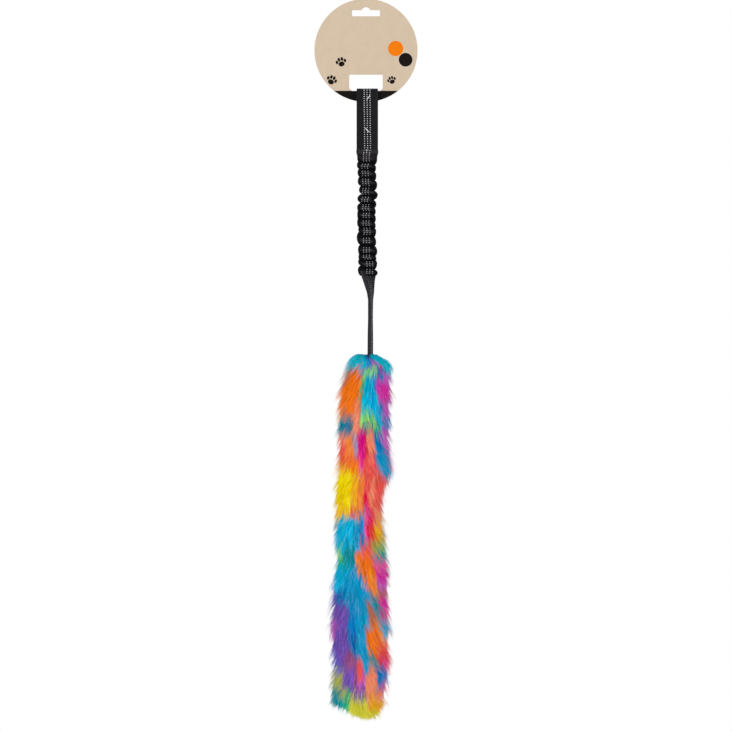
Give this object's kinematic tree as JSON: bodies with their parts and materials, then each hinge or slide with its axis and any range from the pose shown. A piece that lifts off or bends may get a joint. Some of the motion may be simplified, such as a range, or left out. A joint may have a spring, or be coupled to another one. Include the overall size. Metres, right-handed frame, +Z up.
{
  "type": "plush tug toy",
  "caption": "Bungee tug toy hung on a round card tag: webbing handle loop, gathered elastic section, turned strap and long fur tail.",
  "frame": {"origin": "top of the hump of the tag's euro slot, where a peg carries the toy", "axes": "+Z up as the toy hangs, the tag's printed face towards -Y"},
  "size_m": [0.12, 0.0656, 0.8378],
  "materials": {
    "card": "matte",
    "webbing": "matte",
    "thread": "matte",
    "elastic": "matte",
    "fur": "matte"
  },
  "bodies": {
    "tag": {"hang_tag": "card"},
    "handle": {"handle_loop": "webbing", "upper_stitches_front": "thread", "upper_stitches_back": "thread"},
    "bungee": {"bungee_sleeve": "webbing", "bungee_elastic": "elastic"},
    "strap_top": {"strap_head": "webbing", "lower_stitches_front": "thread", "lower_stitches_back": "thread"},
    "strap_middle": {"strap_twist": "webbing"},
    "strap_low": {"strap_run": "webbing"},
    "tail_1": {"tail_core_1": "webbing", "fur_1": "fur"},
    "tail_2": {"tail_core_2": "webbing", "fur_2": "fur"},
    "tail_3": {"tail_core_3": "webbing", "fur_3": "fur"},
    "tail_4": {"tail_core_4": "webbing", "fur_4": "fur"},
    "tail_5": {"tail_core_5": "webbing", "fur_5": "fur"}
  },
  "joints": [
    {"name": "handle_swing", "type": "hinge", "parent": "tag", "child": "handle", "pos_m": [0.0015, 0, -0.0972], "axis": [1, 0, 0], "range_deg": [-30, 30]},
    {"name": "bungee_swing", "type": "hinge", "parent": "handle", "child": "bungee", "pos_m": [0.0015, 0, -0.17055], "axis": [1, 0, 0], "range_deg": [-30, 30]},
    {"name": "bungee_stretch", "type": "slide", "parent": "bungee", "child": "strap_top", "axis": [0, 0, -1], "range_m": [0, 0.1], "stiffness_N_per_m": 500, "springref_m": -0.012, "deforming": ["bungee_sleeve", "bungee_elastic"]},
    {"name": "strap_sway", "type": "hinge", "parent": "strap_top", "child": "strap_middle", "pos_m": [0.00317, 0, -0.31885], "axis": [0.512, 0.859, 0], "range_deg": [-60, 60]},
    {"name": "strap_turn", "type": "hinge", "parent": "strap_middle", "child": "strap_low", "pos_m": [0.0052, 0, -0.34555], "axis": [0, 0, 1], "range_deg": [-80, 90], "stiffness_Nm_per_rad": 0.02},
    {"name": "tail_sway", "type": "hinge", "parent": "strap_low", "child": "tail_1", "pos_m": [0.0052, 0, -0.39905], "axis": [0.1736, 0.9848, 0], "range_deg": [-75, 75]},
    {"name": "tail_bend_1", "type": "hinge", "parent": "tail_1", "child": "tail_2", "pos_m": [-0.00293, 0, -0.50642], "axis": [1, 0, 0], "range_deg": [-25, 25]},
    {"name": "tail_bend_2", "type": "hinge", "parent": "tail_2", "child": "tail_3", "pos_m": [-0.00616, 0, -0.58679], "axis": [0, 1, 0], "range_deg": [-25, 25]},
    {"name": "tail_bend_3", "type": "hinge", "parent": "tail_3", "child": "tail_4", "pos_m": [-0.00553, 0, -0.66716], "axis": [1, 0, 0], "range_deg": [-25, 25]},
    {"name": "tail_bend_4", "type": "hinge", "parent": "tail_4", "child": "tail_5", "pos_m": [-0.00615, 0, -0.74753], "axis": [0, 1, 0], "range_deg": [-25, 25]}
  ]
}
